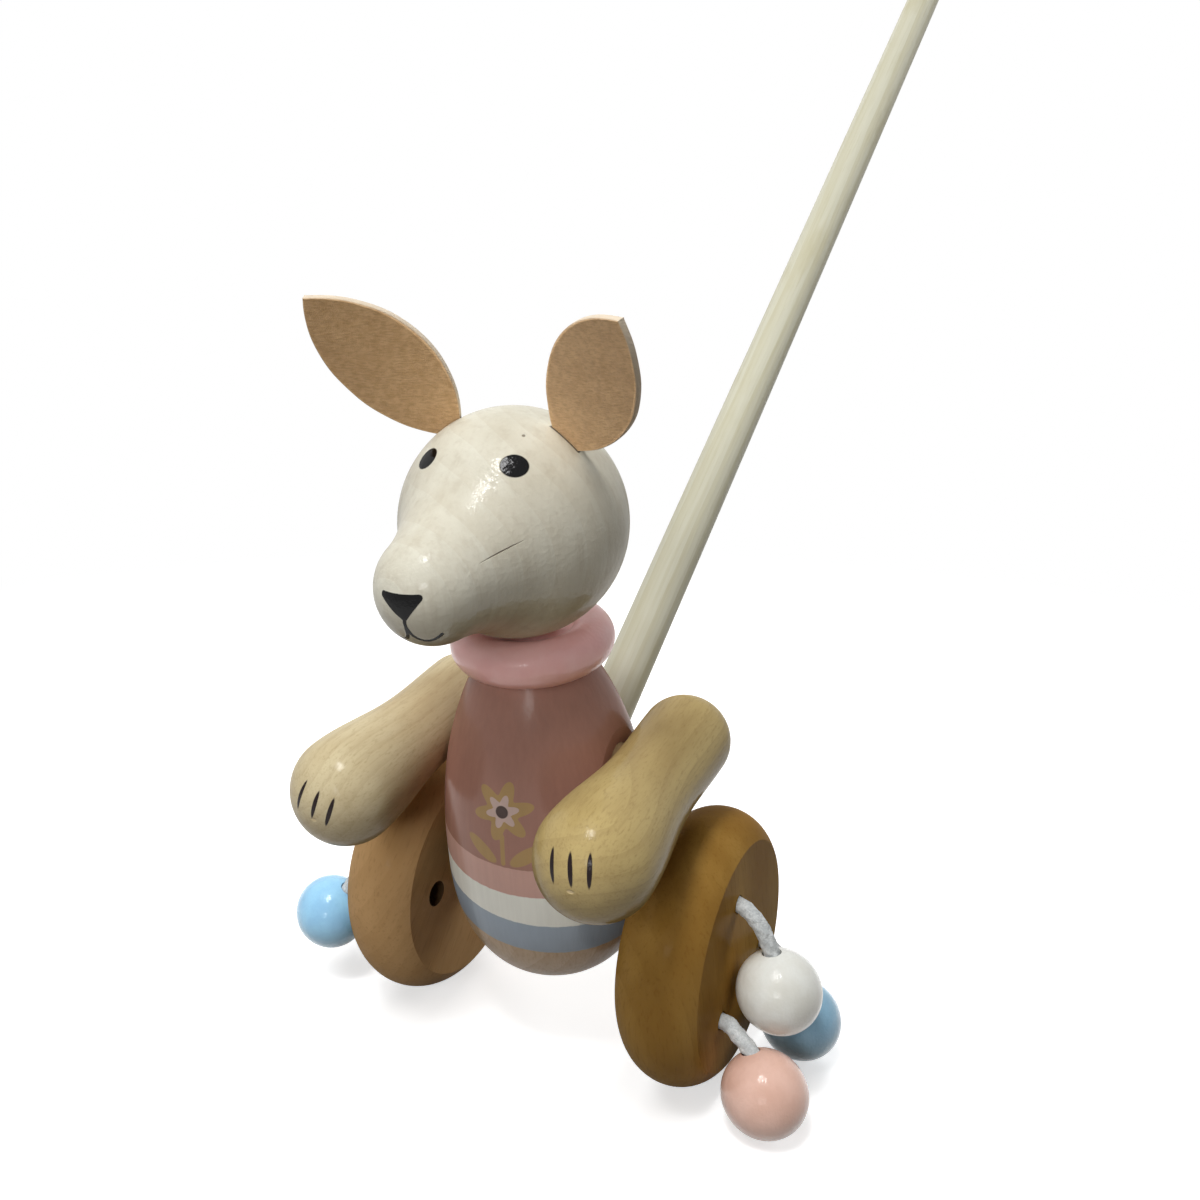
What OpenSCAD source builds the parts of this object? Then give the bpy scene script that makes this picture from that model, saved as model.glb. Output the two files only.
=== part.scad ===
// Wooden push-along kangaroo: a turned figure on two wheels, pushed by a stick.
// Millimetres. The floor is z = 0, the axle runs along X above the origin, and the figure faces -Y.
// Heights inside the figure are measured with it upright; the lean is added at the end, about the axle.

/* [Stance] */
// Forward lean of the figure while its handle is held
lean = 10; // [0:1:20]

/* [Wheels] */
// Diameter over the crown of the tread
wheel_d = 68; // [60:1:76]
// Thickness of a wheel between its flat faces
wheel_w = 20.2; // [16:0.2:22]
// Rise of the rounded tread above the edge of the flat face
tread_rise = 5.9; // [3:0.1:7]
// Distance between the middle planes of the two wheels
wheel_track = 78.2; // [77:0.2:90]
// Diameter of the axle
axle_d = 8; // [6:0.5:10]
// Wood left between the end of the axle and the outer face
axle_skin = 6; // [3:0.5:10]
// Distance of the axle behind the turning axis of the torso
axle_back = 3.3; // [0:0.1:6]

/* [Beads and cords] */
// Diameter of a bead
bead_d = 20; // [18:0.1:20.2]
// Diameter of a cord
cord_d = 4; // [3:0.1:4.2]
// Diameter of the circle of cord holes in a wheel
hole_circle_d = 32.4; // [30:0.1:34]
// Angle of the cream cord's hole on the left wheel, from the back upwards
left_phase = 105; // [95:1:115]
// Angle of the cream cord's hole on the right wheel, from the back upwards
right_phase = -64; // [-74:1:-54]
// Diameter of the wider hole on the inner face that takes the knot
knot_bore_d = 6.6; // [6:0.1:8]
// Depth of that wider hole
knot_bore_depth = 10; // [6:0.5:12]

/* [Torso] */
// Largest diameter, at the belly
belly_d = 51.8; // [46:0.2:54]
// Height of the widest ring above the floor
belly_z = 53.5; // [48:0.5:58]
// Height of the underside above the floor
foot_z = 22.4; // [18:0.2:26]
// Diameter of the flat underside
foot_d = 12; // [8:0.5:24]
// Height of the top face that carries the collar
torso_top_z = 107; // [103:0.5:112]
// Diameter of the top face
neck_d = 27.6; // [24:0.2:32]

/* [Collar] */
// Thickness of the rounded ring
collar_tube_d = 10.7; // [8:0.1:12]
// Diameter of the ring's centre line
collar_ring_d = 27.8; // [24:0.2:32]

/* [Head] */
// Diameter of the ball
head_d = 50.9; // [46:0.1:54]
// Diameter of the rounded nose end
muzzle_d = 23.6; // [18:0.1:28]
// Distance from the ball's centre to the centre of the nose end
muzzle_reach = 32.2; // [28:0.1:38]
// Radius of the hollow blend between ball and muzzle
bridge_r = 40; // [10:1:60]
// Downward tilt of the muzzle
head_nod = 4; // [0:1:12]
// Distance of the ball's centre in front of the torso axis
head_forward = 3.5; // [0:0.1:6]
// Gap between the ball and the collar below it
head_gap = 0.7; // [0.3:0.1:3]
// Diameter of the dowel in the neck
neck_dowel_d = 12; // [8:0.5:13]
// Depth of the dowel in the torso
neck_dowel_in_torso = 12; // [8:0.5:14]
// Depth of the dowel's hole above the ball's lowest point
neck_dowel_in_head = 15; // [8:0.5:20]

/* [Ears] */
// Length of the lens-shaped felt from point to point
ear_len = 44.3; // [38:0.1:52]
// Width of the felt across the middle
ear_w = 22.2; // [18:0.1:28]
// Thickness of the felt
ear_t = 2; // [1:0.1:3]
// Radius of the felt's hollow curve across its width
ear_cup_r = 50; // [30:1:90]
// Depth of the ear's lower point below the ball's surface
ear_depth = 3.6; // [2:0.1:6]
// Sideways angle of an ear's foot on the ball, from straight up
ear_foot_side = 33; // [24:1:42]
// Outward tilt of the left ear
ear_tilt_left = 49; // [35:1:60]
// Outward tilt of the right ear
ear_tilt_right = 39; // [35:1:60]
// Turn of the left ear's tilt towards the front
ear_forward_left = 36; // [20:1:50]
// Turn of the right ear's tilt towards the front
ear_forward_right = 39; // [20:1:50]
// Turn of the left ear's flat about its own length
ear_turn_left = 20; // [0:1:40]
// Turn of the right ear's flat about its own length
ear_turn_right = 29; // [0:1:40]

/* [Arms] */
// Diameter of the shoulder end
shoulder_d = 21.6; // [18:0.2:24]
// Diameter of the paw
paw_d = 26.4; // [20:0.2:28]
// Distance between the centres of the shoulder end and the paw
arm_reach = 48.6; // [42:0.2:54]
// Narrowing of the radius between them
arm_waist = 1.3; // [0:0.1:2.5]
// Height of the shoulder dowel
shoulder_z = 84.4; // [80:0.2:88]
// Distance from the dowel to the centre of the shoulder end
shoulder_tail = 13.3; // [8:0.1:16]
// Outward splay of an arm
arm_splay = 1; // [0:0.5:4]
// Downward pitch of an arm at rest
arm_droop = 1; // [-4:0.5:6]
// Depth of the flat seat cut into the side of the torso, below the belly's radius
seat_depth = 5.3; // [4.5:0.1:7]
// Diameter of that seat
seat_d = 34; // [33:0.5:38]
// Diameter of the shoulder dowel
shoulder_dowel_d = 8; // [6:0.5:10]
// Wood left outside the end of the shoulder dowel
shoulder_skin = 9; // [5:0.5:12]

/* [Handle] */
// Diameter of the stick
rod_d = 12.5; // [10:0.1:14]
// Length of the stick, with the part inside the torso
rod_len = 450; // [380:5:520]
// Angle between the stick and the torso axis
rod_angle = 61.5; // [50:0.5:65]
// Height at which the stick's line meets the torso axis
rod_z = 54.2; // [52:0.2:60]
// Distance of the stick's inner end from the torso axis
rod_start = 3; // [0:0.5:8]
// Diameter of the stick's inner end, which tapers for a push fit
rod_foot_d = 11.5; // [9:0.1:12]
// Length of the tapered foot
rod_foot_len = 35; // [34:1:45]
// Rounding of the stick's free end
rod_round = 4; // [1:0.5:5]

/* [Fits] */
// Radial play of a dowel that turns in the torso
turn_play = 0.08; // [0.02:0.01:0.1]
// Radial room for glue round a fixed dowel
glue_room = 0.03; // [0:0.01:0.1]
// Room between pieces that must not touch
air = 0.3; // [0.2:0.05:0.6]

/* [Hidden] */
wheel_r = wheel_d / 2;
bead_r = bead_d / 2;
cord_r = cord_d / 2;
belly_r = belly_d / 2;
head_r = head_d / 2;
muzzle_r = muzzle_d / 2;
axis_y = -axle_back;
face_out = wheel_track / 2 + wheel_w / 2;
face_in = wheel_track / 2 - wheel_w / 2;
over = 0.5;
round_fn = 96;
turn_steps = 32;
bridge_steps = 12;

// A tread is an arc through the crown and both edges of the flat faces.
tread_r = (pow(wheel_w / 2, 2) + pow(tread_rise, 2)) / (2 * tread_rise);

// Powers that shape the torso's outline above and below the belly.
upper_power = 2.5;
lower_power = 2.2;

collar_z = torso_top_z + collar_tube_d / 2;
head_y = axis_y - head_forward;

// The ball rests its gap above the front of the collar's ring, and as far above the web inside the ring.
head_clear_r = head_r + collar_tube_d / 2 + head_gap;
head_z = collar_z + sqrt(pow(head_clear_r, 2) - pow(collar_ring_d / 2 - head_forward, 2));
collar_web_h = head_z - head_r - head_gap - torso_top_z;

// The seats lie flat, and the back of each shoulder end clears its seat at any swing.
seat_x = belly_r - seat_depth;
arm_pivot_r = arm_radius(shoulder_tail / arm_reach);
arm_x = seat_x + air + shoulder_d / 2 + shoulder_tail * sin(arm_splay);
neck_dowel_foot = torso_top_z - neck_dowel_in_torso;
neck_dowel_head = head_z - head_r + neck_dowel_in_head;
ear_foot_r = head_r - ear_depth;
ear_arc_r = (pow(ear_len / 2, 2) + pow(ear_w / 2, 2)) / ear_w;
cord_sides = 8;
cord_bore_d = cord_d + 2 * air;
knot_r = knot_bore_d / 2 - air;
knot_len = 4;
bead_hole_depth = bead_r + 2;
cord_in_bead = bead_r - 1;

BEADS = ["cream", "pink", "blue"];
BEAD_COLOURS = ["#efe9da", "#f0b49c", "#8fb9e2"];
WOOD = "#d9c9a0";
STAIN = "#a8803f";

// Place of each bead from its cord's exit: outward from the wheel, backwards, and up.
left_beads = [[10.7, 0.8, -19.9], [12.5, -3.9, -12.3], [11.4, -0.2, -18.9]];
right_beads = [[17, 0, -9.2], [12, -3, -17], [14.5, -2, -14.8]];
// Way from each bead's centre to the mouth of its hole.
left_mouths = [[-2.5, 0, 10], [-4.5, 1.5, 9], [-2.5, 0, 10]];
right_mouths = [[-7, 0, 7], [-3, 1, 9], [-5, 1, 7.5]];
// Points of each cord between its exit and its bead, on the same axes.
left_bends = [
    [[1.5, 0, -0.5], [3.6, 0.1, -2.1], [5.8, 0.2, -4.6], [7.2, 0.4, -7.4]],
    [[1.9, 0, -0.4], [3.9, -0.8, -1.3], [6.1, -1.7, -2.3]],
    [[1.5, 0, -0.5], [3.7, 0, -2], [6, -0.1, -4.4], [7.6, -0.1, -7.2]]
];
right_bends = [
    [[2.5, 0, -0.1], [5, 0, -0.5], [7.5, 0, -1.1]],
    [[1.6, 0, -0.4], [3.8, -0.3, -1.5], [5.8, -0.7, -3], [7.5, -1.3, -5]],
    [[2, 0, -0.3], [4.6, -0.3, -1.4], [7.2, -0.6, -3.6]]
];

function unit(v) = v / norm(v);
function side_sign(left) = left ? 1 : -1;

// Radius of the torso at a height: a flattened ellipse below the belly, a power curve above it.
function torso_radius(z) = z < belly_z
    ? foot_d / 2 + (belly_r - foot_d / 2)
        * pow(1 - pow((belly_z - z) / (belly_z - foot_z), lower_power), 1 / lower_power)
    : belly_r - (belly_r - neck_d / 2) * pow((z - belly_z) / (torso_top_z - belly_z), upper_power);

// Radius of an arm at a share u of its reach: a smooth step to the paw, less the waist.
function arm_radius(u) = shoulder_d / 2
    + (paw_d - shoulder_d) / 2 * (3 * u * u - 2 * u * u * u)
    - arm_waist * (1 - cos(360 * u)) / 2;

// Exit of a cord on the outer face of its wheel.
function exit_angle(left, i) = (left ? left_phase : right_phase) + 120 * i;
function cord_exit(left, i) = [
    side_sign(left) * face_out,
    hole_circle_d / 2 * cos(exit_angle(left, i)),
    wheel_r + hole_circle_d / 2 * sin(exit_angle(left, i))
];
function outward(left, v) = [side_sign(left) * v[0], v[1], v[2]];
function bead_offset(left, i) = left ? left_beads[i] : right_beads[i];
function bead_mouth(left, i) = unit(left ? left_mouths[i] : right_mouths[i]);
function bead_centre(left, i) = cord_exit(left, i) + outward(left, bead_offset(left, i));

// Route of a cord from its knot, through the wheel, to the inside of its bead.
function cord_route(left, i) = concat(
    [for (x = [-knot_len - over, -knot_len, -over, 0]) [x - (wheel_w - knot_bore_depth) - air, 0, 0]],
    [[0, 0, 0]],
    left ? left_bends[i] : right_bends[i],
    [bead_offset(left, i) + bead_mouth(left, i) * bead_r],
    [bead_offset(left, i) + bead_mouth(left, i) * (bead_r - cord_in_bead)]
);
cord_radii = [cord_r, knot_r, knot_r, cord_r];

// The figure's upright frame, leaned about the axle.
module figure() {
    translate([0, 0, wheel_r])
        rotate([lean, 0, 0])
            translate([0, 0, -wheel_r])
                children();
}

// A bar along X through a point of the YZ plane.
module cross_bar(d, x0, x1, y, z) {
    translate([x0, y, z])
        rotate([0, 90, 0])
            cylinder(d = d, h = x1 - x0, $fn = round_fn);
}

// The frame of the stick: its line leaves the torso axis at rod_z and runs up and back along +Z.
module rod_frame() {
    translate([0, axis_y, rod_z])
        rotate([-rod_angle, 0, 0])
            children();
}

module torso_profile() {
    lower = [for (i = [0 : turn_steps]) belly_z - (belly_z - foot_z) * cos(90 * i / turn_steps)];
    upper = [for (i = [1 : turn_steps]) belly_z + (torso_top_z - belly_z) * i / turn_steps];
    polygon(concat(
        [[0, foot_z]],
        [for (z = concat(lower, upper)) [torso_radius(z), z]],
        [[0, torso_top_z]]
    ));
}

module torso() {
    color("#b07f73")
    figure()
    difference() {
        translate([0, axis_y, 0])
            rotate_extrude($fn = round_fn)
                torso_profile();
        cross_bar(axle_d + 2 * turn_play, -belly_r, belly_r, 0, wheel_r);
        cross_bar(shoulder_dowel_d + 2 * turn_play, -belly_r, belly_r, axis_y, shoulder_z);
        cross_bar(seat_d, seat_x, belly_r + over, axis_y, shoulder_z);
        cross_bar(seat_d, -belly_r - over, -seat_x, axis_y, shoulder_z);
        translate([0, axis_y, neck_dowel_foot])
            cylinder(d = neck_dowel_d + 2 * glue_room, h = neck_dowel_in_torso + over, $fn = round_fn);
        rod_frame()
            translate([0, 0, rod_start])
                cylinder(d1 = rod_foot_d + 2 * glue_room, d2 = rod_d + 2 * glue_room, h = rod_foot_len,
                    $fn = round_fn);
    }
}

module collar() {
    color("#d9a29c")
    figure()
    translate([0, axis_y, collar_z])
        rotate_extrude($fn = round_fn)
            union() {
                translate([collar_ring_d / 2, 0])
                    circle(d = collar_tube_d, $fn = round_fn);
                translate([neck_dowel_d / 2 + glue_room, -collar_tube_d / 2])
                    square([(collar_ring_d - neck_dowel_d) / 2 - glue_room, collar_web_h]);
            }
}

module neck_dowel() {
    color(WOOD)
    figure()
    translate([0, axis_y, neck_dowel_foot])
        cylinder(d = neck_dowel_d, h = neck_dowel_head - neck_dowel_foot, $fn = round_fn);
}

// Outline of the head: the ball, the nose end, and a hollow arc that touches both.
module head_profile() {
    ball_reach = head_r + bridge_r;
    nose_reach = muzzle_r + bridge_r;
    along = (pow(muzzle_reach, 2) + pow(ball_reach, 2) - pow(nose_reach, 2)) / (2 * muzzle_reach);
    bridge = [sqrt(pow(ball_reach, 2) - pow(along, 2)), along];
    nose = [0, muzzle_reach];
    ball_end = atan2(bridge[0], bridge[1]);
    nose_start = atan2(bridge[0], bridge[1] - muzzle_reach);
    ball_touch = head_r * unit(bridge);
    nose_touch = nose + muzzle_r * unit(bridge - nose);
    from = atan2(ball_touch[1] - bridge[1], ball_touch[0] - bridge[0]);
    to = atan2(nose_touch[1] - bridge[1], nose_touch[0] - bridge[0]);
    sweep = to < from ? to - from : to - from - 360;
    polygon(concat(
        [for (i = [0 : turn_steps])
            let (a = 180 - (180 - ball_end) * i / turn_steps)
                head_r * [sin(a), cos(a)]],
        [for (i = [1 : bridge_steps - 1])
            let (a = from + sweep * i / bridge_steps)
                bridge + bridge_r * [cos(a), sin(a)]],
        [for (i = [0 : turn_steps])
            let (a = nose_start * (1 - i / turn_steps))
                nose + muzzle_r * [sin(a), cos(a)]]
    ));
}

// The frame of the head: origin at the ball's centre, +Z along the muzzle.
module head_frame() {
    translate([0, head_y, head_z])
        rotate([90 + head_nod, 0, 0])
            children();
}

module head() {
    color("#ece2c8")
    figure()
    difference() {
        head_frame()
            rotate_extrude($fn = round_fn)
                head_profile();
        translate([0, axis_y, head_z - head_r - over])
            cylinder(d = neck_dowel_d + 2 * glue_room, h = neck_dowel_in_head + over, $fn = round_fn);
        ear_plate(true, glue_room);
        ear_plate(false, glue_room);
    }
}

// One felt ear: a lens cut from a curved sheet, its lower point inside the ball.
module ear_plate(left, room) {
    tilt = left ? ear_tilt_left : ear_tilt_right;
    turn = left ? ear_turn_left : ear_turn_right;
    forward = left ? ear_forward_left : ear_forward_right;
    mirror([left ? 0 : 1, 0, 0])
        translate([ear_foot_r * sin(ear_foot_side), head_y, head_z + ear_foot_r * cos(ear_foot_side)])
            rotate([0, 0, -forward])
                rotate([0, tilt, 0])
                    rotate([0, 0, turn])
                        intersection() {
                            rotate([90, 0, 0])
                                linear_extrude(height = ear_w, center = true)
                                    ear_outline(room);
                            translate([0, ear_cup_r, -over])
                                difference() {
                                    cylinder(r = ear_cup_r + ear_t / 2 + room, h = ear_len + 2 * over,
                                        $fn = round_fn);
                                    translate([0, 0, -over])
                                        cylinder(r = ear_cup_r - ear_t / 2 - room,
                                            h = ear_len + 4 * over, $fn = round_fn);
                                }
                        }
}

// A lens of two arcs, standing on its lower point.
module ear_outline(room) {
    translate([0, ear_len / 2])
        intersection_for(s = [-1, 1])
            translate([s * (ear_arc_r - ear_w / 2), 0])
                circle(r = ear_arc_r + room, $fn = round_fn);
}

module ear_left() {
    color("#b8926a") figure() ear_plate(true, 0);
}

module ear_right() {
    color("#b8926a") figure() ear_plate(false, 0);
}

// Outline of an arm: a round shoulder end, the waist, and a round paw.
module arm_profile() {
    polygon(concat(
        [for (i = [0 : turn_steps / 2])
            let (a = 180 - 180 * i / turn_steps)
                shoulder_d / 2 * [sin(a), cos(a)]],
        [for (i = [1 : turn_steps - 1])
            [arm_radius(i / turn_steps), arm_reach * i / turn_steps]],
        [for (i = [0 : turn_steps / 2])
            let (a = 90 - 180 * i / turn_steps)
                [paw_d / 2 * sin(a), arm_reach + paw_d / 2 * cos(a)]]
    ));
}

module arm(left) {
    color("#cdb583")
    figure()
    mirror([left ? 0 : 1, 0, 0])
        difference() {
            translate([arm_x, axis_y, shoulder_z])
                rotate([90 + arm_droop, 0, arm_splay])
                    translate([0, 0, -shoulder_tail])
                        rotate_extrude($fn = round_fn)
                            arm_profile();
            cross_bar(shoulder_dowel_d + 2 * glue_room, 0, shoulder_dowel_end(), axis_y, shoulder_z);
        }
}

function shoulder_dowel_end() = arm_x + arm_pivot_r - shoulder_skin;

module arm_left() {
    arm(true);
}

module arm_right() {
    arm(false);
}

module shoulder_dowel() {
    color(WOOD)
    figure()
    cross_bar(shoulder_dowel_d, -shoulder_dowel_end(), shoulder_dowel_end(), axis_y, shoulder_z);
}

// Half outline of the stick: a tapered foot, a straight stretch and a rounded end.
module rod_profile() {
    polygon([
        [0, 0],
        [rod_foot_d / 2, 0],
        [rod_d / 2, rod_foot_len],
        [rod_d / 2, rod_len - rod_round],
        [0, rod_len - rod_round]
    ]);
    square([rod_d / 2 - rod_round, rod_len]);
    intersection() {
        translate([rod_d / 2 - rod_round, rod_len - rod_round])
            circle(r = rod_round, $fn = round_fn);
        square([rod_d / 2, rod_len]);
    }
}

module handle_rod() {
    color("#e6dfc6")
    figure()
    rod_frame()
        translate([0, 0, rod_start])
            rotate_extrude($fn = round_fn)
                rod_profile();
}

module axle() {
    color(WOOD)
    cross_bar(axle_d, -face_out + axle_skin, face_out - axle_skin, 0, wheel_r);
}

// Half section of a wheel: a flat disc whose rim is an arc between the two faces.
module wheel_profile() {
    union() {
        translate([0, -wheel_w / 2])
            square([wheel_r - tread_rise, wheel_w]);
        intersection() {
            translate([wheel_r - tread_r, 0])
                circle(r = tread_r, $fn = round_fn);
            translate([wheel_r - tread_rise - over, -wheel_w / 2])
                square([tread_rise + over, wheel_w]);
        }
    }
}

module wheel(left) {
    color(STAIN)
    difference() {
        translate([side_sign(left) * wheel_track / 2, 0, wheel_r])
            rotate([0, 90, 0])
                rotate_extrude($fn = round_fn)
                    wheel_profile();
        mirror([left ? 0 : 1, 0, 0])
            cross_bar(axle_d + 2 * glue_room, 0, face_out - axle_skin, 0, wheel_r);
        for (i = [0 : len(BEADS) - 1]) {
            hole = cord_exit(left, i);
            mirror([left ? 0 : 1, 0, 0]) {
                cross_bar(cord_bore_d, face_in - over, face_out + over, hole[1], hole[2]);
                cross_bar(knot_bore_d, face_in - over, face_in + knot_bore_depth, hole[1], hole[2]);
            }
        }
    }
}

module wheel_left() {
    wheel(true);
}

module wheel_right() {
    wheel(false);
}

// Half section of a bead, turned about its blind hole.
module bead_profile() {
    difference() {
        circle(d = bead_d, $fn = round_fn);
        translate([-bead_d, -bead_d])
            square([bead_d, 2 * bead_d]);
        translate([-over, bead_r - bead_hole_depth])
            square([cord_bore_d / 2 + over, bead_hole_depth + over]);
    }
}

module bead(left, i) {
    color(BEAD_COLOURS[i])
    translate(bead_centre(left, i))
        along_mouth(outward(left, bead_mouth(left, i)))
            rotate_extrude($fn = round_fn)
                bead_profile();
}

// Turns +Z towards a direction.
module along_mouth(v) {
    rotate([0, acos(v[2]), atan2(v[1], v[0])])
        children();
}

// A tube swept along points, with a ring square to the route at each one.
module swept(points, radii) {
    last = len(points) - 1;
    way = [for (i = [0 : last]) unit(points[min(i + 1, last)] - points[max(i - 1, 0)])];
    across = [for (w = way) unit(cross(w, [0, 1, 0]))];
    verts = [for (i = [0 : last]) for (k = [0 : cord_sides - 1])
        let (a = 360 * k / cord_sides, up = cross(way[i], across[i]))
            points[i] + radii[i] * (cos(a) * across[i] + sin(a) * up)];
    walls = [for (i = [0 : last - 1]) for (k = [0 : cord_sides - 1])
        let (n = (k + 1) % cord_sides, a = i * cord_sides, b = (i + 1) * cord_sides)
            each [[a + k, b + k, b + n], [a + k, b + n, a + n]]];
    near = [for (k = [1 : cord_sides - 2]) [0, k, k + 1]];
    far = [for (k = [1 : cord_sides - 2]) [for (v = [0, k + 1, k]) last * cord_sides + v]];
    polyhedron(points = verts, faces = concat(walls, near, far));
}

module cord(left, i) {
    route = [for (p = cord_route(left, i)) cord_exit(left, i) + outward(left, p)];
    radii = [for (k = [0 : len(route) - 1]) k < len(cord_radii) ? cord_radii[k] : cord_r];
    color("#d8d8d2")
        swept(route, radii);
}

torso();
collar();
neck_dowel();
head();
ear_left();
ear_right();
arm_left();
arm_right();
shoulder_dowel();
handle_rod();
axle();
wheel_left();
wheel_right();
cord(true, 0);  // cord_left_cream
cord(true, 1);  // cord_left_pink
cord(true, 2);  // cord_left_blue
cord(false, 0);  // cord_right_cream
cord(false, 1);  // cord_right_pink
cord(false, 2);  // cord_right_blue
bead(true, 0);  // bead_left_cream
bead(true, 1);  // bead_left_pink
bead(true, 2);  // bead_left_blue
bead(false, 0);  // bead_right_cream
bead(false, 1);  // bead_right_pink
bead(false, 2);  // bead_right_blue
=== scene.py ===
import bpy
import numpy as np
from mathutils import Matrix, Vector


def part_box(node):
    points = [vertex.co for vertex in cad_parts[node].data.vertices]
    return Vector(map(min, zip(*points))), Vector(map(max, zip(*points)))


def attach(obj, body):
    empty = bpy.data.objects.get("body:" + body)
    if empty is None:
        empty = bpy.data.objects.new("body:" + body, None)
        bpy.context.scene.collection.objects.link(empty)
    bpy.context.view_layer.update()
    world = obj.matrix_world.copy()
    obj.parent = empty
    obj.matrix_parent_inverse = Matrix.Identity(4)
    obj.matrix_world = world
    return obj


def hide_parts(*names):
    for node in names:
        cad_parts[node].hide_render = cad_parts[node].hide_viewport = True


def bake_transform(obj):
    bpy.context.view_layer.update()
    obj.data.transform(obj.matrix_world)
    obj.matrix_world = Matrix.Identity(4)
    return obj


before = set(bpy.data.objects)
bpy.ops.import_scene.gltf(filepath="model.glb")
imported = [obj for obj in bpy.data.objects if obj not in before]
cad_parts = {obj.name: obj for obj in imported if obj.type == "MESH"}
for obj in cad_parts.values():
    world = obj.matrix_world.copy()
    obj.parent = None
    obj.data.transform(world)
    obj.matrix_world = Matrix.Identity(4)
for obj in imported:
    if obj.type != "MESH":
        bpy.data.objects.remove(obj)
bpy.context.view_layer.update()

mm = 0.001  # the dictionaries below are in millimetres
sides = dict(left=1, right=-1)  # the toy faces -Y, and its left is +X
farAway = 9.0  # millimetres, past the edge of any paint
print("frame loaded:", len(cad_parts), "nodes")

# Camera, where the photo was taken from

photoView = dict(
    place=(123.6, -232.07, 185.66),
    turn=31.385,  # degrees round +Z from looking along +Y
    down=15.555,  # degrees below level
    sensor=36.0,
    lens=33.36,
    shift=(0.0800, 0.0109),  # the picture's middle lies right of and above the lens axis
    nearest=10.0,
)


def placeCamera(view):
    lens = bpy.data.cameras.new("photoLens")
    lens.sensor_width = view["sensor"]
    lens.lens = view["lens"]
    lens.shift_x, lens.shift_y = view["shift"]
    lens.clip_start = view["nearest"] * mm
    camera = bpy.data.objects.new("photoCamera", lens)
    camera.location = Vector(view["place"]) * mm
    camera.rotation_euler = (np.radians(90 - view["down"]), 0, np.radians(view["turn"]))
    bpy.context.scene.collection.objects.link(camera)
    bpy.context.scene.camera = camera


placeCamera(photoView)
bpy.context.scene.view_settings.view_transform = "Standard"
print("camera placed")

# Points, meshes and frames


def unit(v):
    v = np.asarray(v, float)
    return v / np.linalg.norm(v, axis=-1, keepdims=True)


# Rows run along the piece and columns round it. Neighbours make quads, and each end ring
# closes on its own mean point. The faces are turned over if the enclosed volume is negative.
def skinGrid(name, grid, notes=None):
    rows, cols = grid.shape[:2]
    points = np.concatenate([grid.reshape(-1, 3), grid[[0, -1]].mean(axis=1)])
    row, col = np.meshgrid(np.arange(rows - 1), np.arange(cols), indexing="ij")
    nextCol = (col + 1) % cols
    quads = np.stack([row * cols + col, row * cols + nextCol,
                      (row + 1) * cols + nextCol, (row + 1) * cols + col], axis=-1).reshape(-1, 4)
    ring = np.arange(cols)
    ringNext = (ring + 1) % cols
    firstPole, lastPole = rows * cols, rows * cols + 1
    lastRow = (rows - 1) * cols
    fans = np.concatenate([
        np.stack([np.full(cols, firstPole), ringNext, ring], axis=-1),
        np.stack([np.full(cols, lastPole), lastRow + ring, lastRow + ringNext], axis=-1)])
    corners = points[np.concatenate([quads[:, [0, 1, 2]], quads[:, [0, 2, 3]], fans])]
    volume = np.einsum("ij,ij->i", corners[:, 0], np.cross(corners[:, 1], corners[:, 2])).sum()
    if volume < 0:
        quads, fans = quads[:, ::-1], fans[:, ::-1]
    mesh = bpy.data.meshes.new(name)
    mesh.from_pydata(points.tolist(), [], quads.tolist() + fans.tolist())
    for key, values in (notes or {}).items():
        ends = values[[0, -1]].mean(axis=1)
        mesh.attributes.new(key, "FLOAT", "POINT").data.foreach_set(
            "value", np.concatenate([values.ravel(), ends]).astype(np.float32))
    mesh.shade_smooth()
    piece = bpy.data.objects.new(name, mesh)
    bpy.context.scene.collection.objects.link(piece)
    return piece


# A turned form: each (radius, height) of the outline goes once round the local Z axis.
def turned(outline, cols):
    angle = np.linspace(0, 2 * np.pi, cols, endpoint=False)
    radius, height = np.asarray(outline, float).T[:, :, None]
    return np.stack(np.broadcast_arrays(radius * np.cos(angle), radius * np.sin(angle), height), axis=-1)


# Spaces an outline's points evenly by arc length, with more points where weight is high.
def respaced(outline, count, weight=None):
    outline = np.asarray(outline, float)
    steps = np.linalg.norm(np.diff(outline, axis=0), axis=1)
    if weight is not None:
        steps = steps * (weight[1:] + weight[:-1]) / 2
    reach = np.concatenate([[0], np.cumsum(steps)])
    want = np.linspace(0, reach[-1], count)
    return np.stack([np.interp(want, reach, outline[:, k]) for k in range(outline.shape[1])], axis=-1)


# A smooth line through points: cubic pieces whose slope at a point is that of its two neighbours.
def smoothLine(points, count, fineness=12):
    points = np.asarray(points, float)
    t = np.concatenate([[0], np.cumsum(np.linalg.norm(np.diff(points, axis=0), axis=1))])
    slope = np.gradient(points, t, axis=0)
    want = np.linspace(0, t[-1], fineness * count)
    k = np.clip(np.searchsorted(t, want, side="right") - 1, 0, len(t) - 2)
    gap = (t[k + 1] - t[k])[:, None]
    u = (want - t[k])[:, None] / gap
    line = ((2 * u**3 - 3 * u**2 + 1) * points[k] + (u**3 - 2 * u**2 + u) * gap * slope[k]
            + (3 * u**2 - 2 * u**3) * points[k + 1] + (u**3 - u**2) * gap * slope[k + 1])
    return respaced(line, count)


def distanceTo(points, corners):  # least distance to a chain of straight stretches
    best = np.full(points.shape[:-1], np.inf)
    for a, b in zip(corners[:-1], corners[1:]):
        way = b - a
        t = np.clip(((points - a) @ way) / (way @ way), 0, 1)
        best = np.minimum(best, np.linalg.norm(points - a - t[..., None] * way, axis=-1))
    return best


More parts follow.
